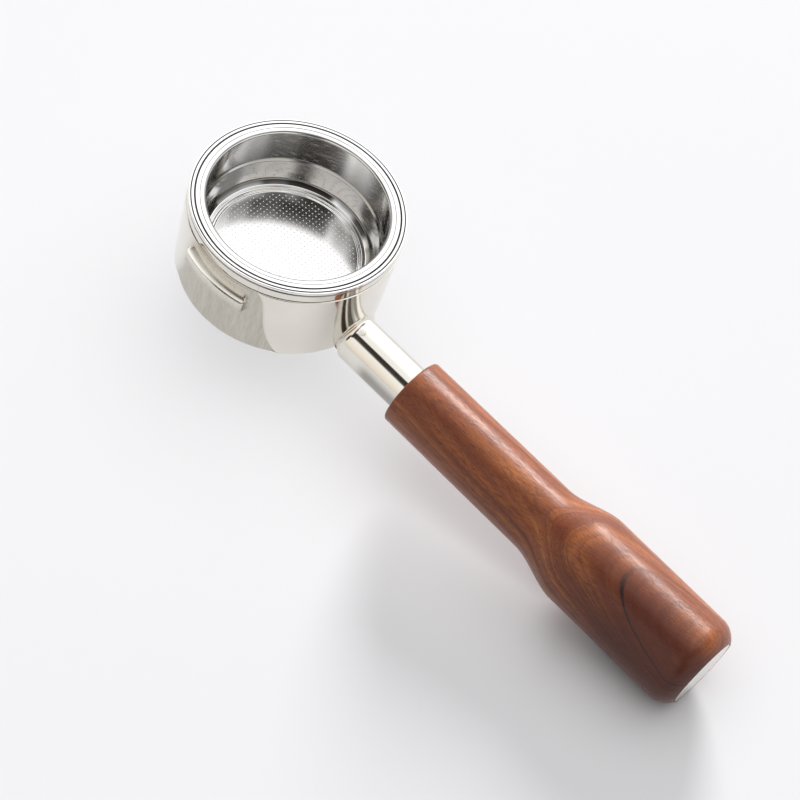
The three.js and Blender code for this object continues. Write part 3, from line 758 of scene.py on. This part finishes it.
floorReach = 3      # metres from the middle to each side
floorMesh = bpy.data.meshes.new("floor")
floorCorners = [(x * floorReach, y * floorReach, 0) for x, y in ((-1, -1), (1, -1), (1, 1), (-1, 1))]
floorMesh.from_pydata(floorCorners, [], [(0, 1, 2, 3)])
floor = bpy.data.objects.new("floor", floorMesh)
bpy.context.scene.collection.objects.link(floor)
paper, paperGraph, paperShader = newFinish("pale paper")
paperShader.inputs["Base Color"].default_value = (0.80, 0.80, 0.815, 1)
paperShader.inputs["Roughness"].default_value = 0.9
paperShader.inputs["Specular IOR Level"].default_value = 0.1
floorMesh.materials.append(paper)

studio = dict(
    sky=1.16, fill=0.10, darkest=shade(58, 52, 48),
    key=dict(power=405.0, size=2.3, towards=(-0.53, 0.77, 0.355), away=6.0),
    top=dict(power=173.0, size=8.0, towards=(0.0, 0.0, 1.0), away=3.5),
    gleam=dict(power=30.0, size=0.8, towards=(-0.135, 0.685, 0.716), away=2.0),
)
# What the steel mirrors that is not lit: azimuth, height, half widths where it is full and gone, depth.
darkPatches = [
    (-106, 65, 5, 10, 1.0), (-82, 57, 12, 17, 1.0), (-58, 50, 11, 18, 1.0), (-22, 54, 10, 18, 0.9),
    (10, 50, 8, 16, 0.6), (-52, 20, 11, 19, 1.0), (-152, 40, 7, 15, 0.95), (-172, 54, 7, 14, 0.9),
    (38, 34, 9, 20, 0.75), (-128, 48, 4, 12, 0.35),
]

world = bpy.data.worlds.new("studio")
bpy.context.scene.world = world
world.use_nodes = True
w = Graph(world.node_tree)
direction = w.add("TexCoord").outputs["Generated"]
parts = w.add("SeparateXYZ", {0: direction}).outputs
upward = w.ramp(w.span(parts[2], 0.0, 0.7, smooth=False),
                [(0.0, shade(226, 220, 210)), (0.5, shade(250, 241, 230)), (1.0, (1, 1, 1, 1))])
sky = w.blend(w.span(parts[1], 0.0, 0.4), upward, (1.3, 1.3, 1.32, 1))      # brighter towards +Y
for azimuth, height, inner, outer, depth in darkPatches:
    aim = Vector((1, 0, 0))
    aim.rotate(Euler((0, -math.radians(height), math.radians(azimuth))))
    near = w.add("VectorMath", {0: direction, 1: aim}, operation="DOT_PRODUCT").outputs["Value"]
    part = w.span(near, math.cos(math.radians(outer)), math.cos(math.radians(inner)), 0.0, depth)
    sky = w.blend(part, sky, studio["darkest"])
soft = w.add("LightPath").outputs["Is Diffuse Ray"]
bright = w.add("Background", {"Color": sky, "Strength": studio["sky"]})
even = w.add("Background", {"Color": (1, 1, 1, 1), "Strength": studio["fill"]})
both = w.add("MixShader", {0: soft, 1: bright.outputs[0], 2: even.outputs[0]})
w.add("OutputWorld", {"Surface": both.outputs[0]})

# Only the grip and its disc cast the lamps' shadow; the head is held clear and leaves no mark.
casters = bpy.data.collections.new("shadow casters")
for name in ("grip", "end_disc"):
    casters.objects.link(bpy.data.objects[name])
for name in ("key", "top", "gleam"):
    settings = studio[name]
    lamp = bpy.data.lights.new(name, "AREA")
    lamp.shape = "DISK"
    lamp.size = settings["size"]
    lamp.energy = settings["power"]
    stand = bpy.data.objects.new(name, lamp)
    bpy.context.scene.collection.objects.link(stand)
    stand.location = Vector(settings["towards"]).normalized() * settings["away"]
    stand.rotation_euler = stand.location.to_track_quat("Z", "Y").to_euler()
    stand.light_linking.blocker_collection = casters
    if name == "gleam":          # lights the grip alone, for the line of light along it
        stand.light_linking.receiver_collection = casters
    else:                        # the steel mirrors the studio, not these two lamps
        stand.visible_glossy = False

view = dict(place=(354.57, -616.94, 837.39), right=(0.728125, 0.652405, 0.210243),
            ahead=(-0.267013, 0.552463, -0.789613), lens=157.5, sensor=36.0, nearest=0.01, farthest=20.0)
cameraData = bpy.data.cameras.new("camera")
camera = bpy.data.objects.new("camera", cameraData)
bpy.context.scene.collection.objects.link(camera)
cameraData.sensor_width = view["sensor"]
cameraData.lens = view["lens"]
right, ahead = Vector(view["right"]), Vector(view["ahead"])
above = right.cross(ahead)
turnTo = Matrix((right, above, -ahead)).transposed().to_4x4()
camera.matrix_world = Matrix.Translation(Vector(np.array(view["place"]) * mm + rimCentre)) @ turnTo
cameraData.clip_start, cameraData.clip_end = view["nearest"], view["farthest"]
bpy.context.scene.camera = camera
bpy.context.scene.view_settings.view_transform = "Standard"
print("floor, light and camera ready")
